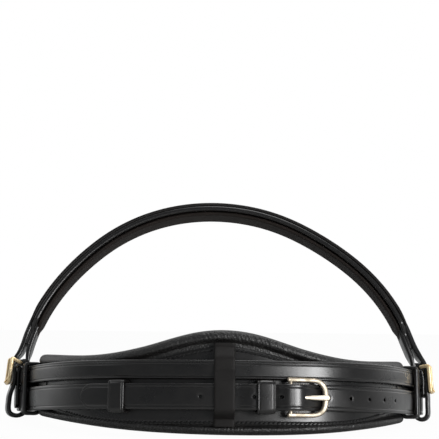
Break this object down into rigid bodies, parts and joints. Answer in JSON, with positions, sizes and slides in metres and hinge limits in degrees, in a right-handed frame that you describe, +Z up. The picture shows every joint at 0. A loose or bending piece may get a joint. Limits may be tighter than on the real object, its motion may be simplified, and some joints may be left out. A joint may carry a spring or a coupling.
{
  "type": "padded crank noseband",
  "caption": "Padded crank noseband with a contoured jaw pad, twin straps, front buckle, keepers and a raised nose strap hung from side buckles.",
  "frame": {"origin": "centre of the bounding box's underside, on the surface it stands on", "axes": "+X along the jaw band, +Y from the jaw pad towards the nose strap, +Z up"},
  "size_m": [0.284, 0.1584, 0.1448],
  "materials": {
    "bridle_leather": "smooth semi-gloss black bridle leather, creased and stitched edges",
    "pad_leather": "soft fine-grained matt black leather",
    "lining_leather": "soft dark brown-black lining leather",
    "filling": "hidden foam and cord filling",
    "buckle_metal": "pale champagne nickel plate, polished"
  },
  "bodies": {
    "band": {"jaw_facing": "bridle_leather", "upper_strap": "bridle_leather", "closing_strap": "bridle_leather", "buckle_strap": "bridle_leather", "centre_loop": "bridle_leather", "fixed_keeper": "bridle_leather", "end_keeper_left": "bridle_leather", "end_keeper_right": "bridle_leather", "billet_left": "bridle_leather", "billet_right": "bridle_leather", "side_chape_left": "bridle_leather", "side_chape_right": "bridle_leather", "pad_cover": "pad_leather", "pad_foam": "filling", "buckle_frame": "buckle_metal", "side_buckle_left": "buckle_metal", "side_buckle_right": "buckle_metal"},
    "nose_strap": {"nose_strap_base": "bridle_leather", "nose_strap_front": "bridle_leather", "nose_strap_filler": "filling", "nose_strap_lining": "lining_leather", "nose_tab_left": "bridle_leather", "nose_tab_right": "bridle_leather"},
    "buckle_tongue": {"buckle_tongue": "buckle_metal"},
    "side_tongue_left": {"side_tongue_left": "buckle_metal"},
    "side_tongue_right": {"side_tongue_right": "buckle_metal"},
    "runner": {"runner_keeper": "bridle_leather"}
  },
  "joints": [
    {"name": "nose_strap_swing", "type": "hinge", "parent": "band", "child": "nose_strap", "pos_m": [0, 0.04378, 0.0446], "axis": [1, 0, 0], "range_deg": [-70, 45]},
    {"name": "buckle_tongue_turn", "type": "hinge", "parent": "band", "child": "buckle_tongue", "pos_m": [0.03766, -0.07176, 0.02336], "axis": [0, -0.1001, -0.995], "range_deg": [0, 6]},
    {"name": "side_tongue_left_turn", "type": "hinge", "parent": "band", "child": "side_tongue_left", "pos_m": [-0.13275, 0.04123, 0.03581], "axis": [-0.2588, 0.9611, -0.0967], "range_deg": [0, 6]},
    {"name": "side_tongue_right_turn", "type": "hinge", "parent": "band", "child": "side_tongue_right", "pos_m": [0.13275, 0.04123, 0.03581], "axis": [-0.2588, -0.9611, 0.0967], "range_deg": [0, 6]},
    {"name": "runner_slide", "type": "hinge", "parent": "band", "child": "runner", "pos_m": [-0.02812, 0.01767, 0.01436], "axis": [0, 0.1001, 0.995], "range_deg": [-9, 5]}
  ]
}
